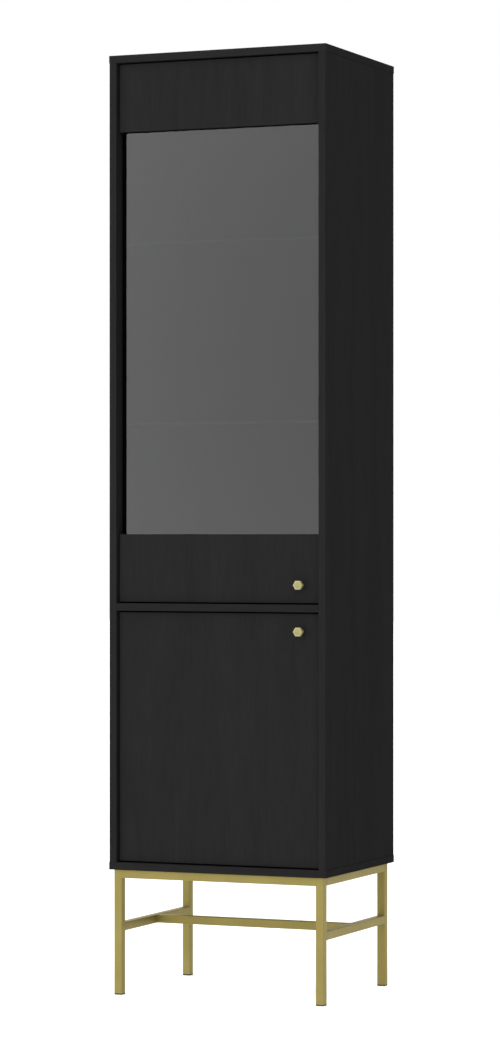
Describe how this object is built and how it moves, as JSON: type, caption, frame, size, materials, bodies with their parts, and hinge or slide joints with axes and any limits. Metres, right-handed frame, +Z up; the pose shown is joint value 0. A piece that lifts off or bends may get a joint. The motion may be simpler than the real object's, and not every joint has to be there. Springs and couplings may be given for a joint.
{
  "type": "display cabinet",
  "caption": "Tall black display cabinet with a glazed door over a solid door, glass shelves inside, hexagonal knobs and a slim square-tube leg frame.",
  "frame": {"origin": "on the floor, at the centre of the footprint of the whole cabinet with its knobs", "axes": "+Z up, +Y to the back (towards the wall), +X to the right seen from the front"},
  "size_m": [0.502, 0.412, 2.016],
  "materials": {
    "black_laminate": "matt black melamine with a faint wood-grain emboss",
    "smoked_glass": "4 mm grey-tinted float glass, polished edges",
    "clear_glass": "6 mm clear float glass, ground edges",
    "gold_steel": "satin gold powder coat",
    "gold_knob": "brushed pale gold plating",
    "nickel": "nickel-plated steel",
    "black_plastic": "matt black polyethylene",
    "black_rubber": "matt black rubber",
    "black_aluminium": "black anodised"
  },
  "bodies": {
    "carcass": {"left_side_panel": "black_laminate", "right_side_panel": "black_laminate", "top_panel": "black_laminate", "bottom_panel": "black_laminate", "middle_divider": "black_laminate", "back_panel": "black_laminate", "lower_board_shelf": "black_laminate", "lower_glass_shelf": "clear_glass", "upper_glass_shelf": "clear_glass", "pin_board_shelf_front_left": "black_plastic", "pin_board_shelf_front_right": "black_plastic", "pin_board_shelf_rear_left": "black_plastic", "pin_board_shelf_rear_right": "black_plastic", "pin_lower_glass_shelf_front_left": "black_plastic", "pin_lower_glass_shelf_front_right": "black_plastic", "pin_lower_glass_shelf_rear_left": "black_plastic", "pin_lower_glass_shelf_rear_right": "black_plastic", "pin_upper_glass_shelf_front_left": "black_plastic", "pin_upper_glass_shelf_front_right": "black_plastic", "pin_upper_glass_shelf_rear_left": "black_plastic", "pin_upper_glass_shelf_rear_right": "black_plastic", "front_left_leg": "gold_steel", "front_right_leg": "gold_steel", "rear_left_leg": "gold_steel", "rear_right_leg": "gold_steel", "front_rail": "gold_steel", "rear_rail": "gold_steel", "left_side_rail": "gold_steel", "right_side_rail": "gold_steel", "left_stretcher": "gold_steel", "right_stretcher": "gold_steel", "cross_stretcher": "gold_steel", "front_left_foot_cap": "black_plastic", "front_right_foot_cap": "black_plastic", "rear_left_foot_cap": "black_plastic", "rear_right_foot_cap": "black_plastic", "frame_screw_front_left": "nickel", "frame_screw_front_right": "nickel", "frame_screw_rear_left": "nickel", "frame_screw_rear_right": "nickel", "hinge_arm_upper_door_top": "nickel", "hinge_arm_upper_door_bottom": "nickel", "hinge_arm_lower_door_top": "nickel", "hinge_arm_lower_door_bottom": "nickel"},
    "upper_door": {"upper_door_top_rail": "black_laminate", "upper_door_bottom_rail": "black_laminate", "upper_door_glass": "smoked_glass", "upper_door_glass_seal": "black_rubber", "glass_clamp_top": "black_aluminium", "glass_clamp_bottom": "black_aluminium", "upper_knob": "gold_knob", "upper_knob_screw": "nickel", "hinge_cup_upper_door_top": "nickel", "hinge_cup_upper_door_bottom": "nickel"},
    "lower_door": {"lower_door_panel": "black_laminate", "lower_knob": "gold_knob", "lower_knob_screw": "nickel", "hinge_cup_lower_door_top": "nickel", "hinge_cup_lower_door_bottom": "nickel"}
  },
  "joints": [
    {"name": "upper_door_hinge", "type": "hinge", "parent": "carcass", "child": "upper_door", "pos_m": [-0.218, -0.1755, 1.4205], "axis": [0, 0, -1], "range_deg": [0, 100]},
    {"name": "lower_door_hinge", "type": "hinge", "parent": "carcass", "child": "lower_door", "pos_m": [-0.218, -0.1755, 0.555], "axis": [0, 0, -1], "range_deg": [0, 100]}
  ]
}
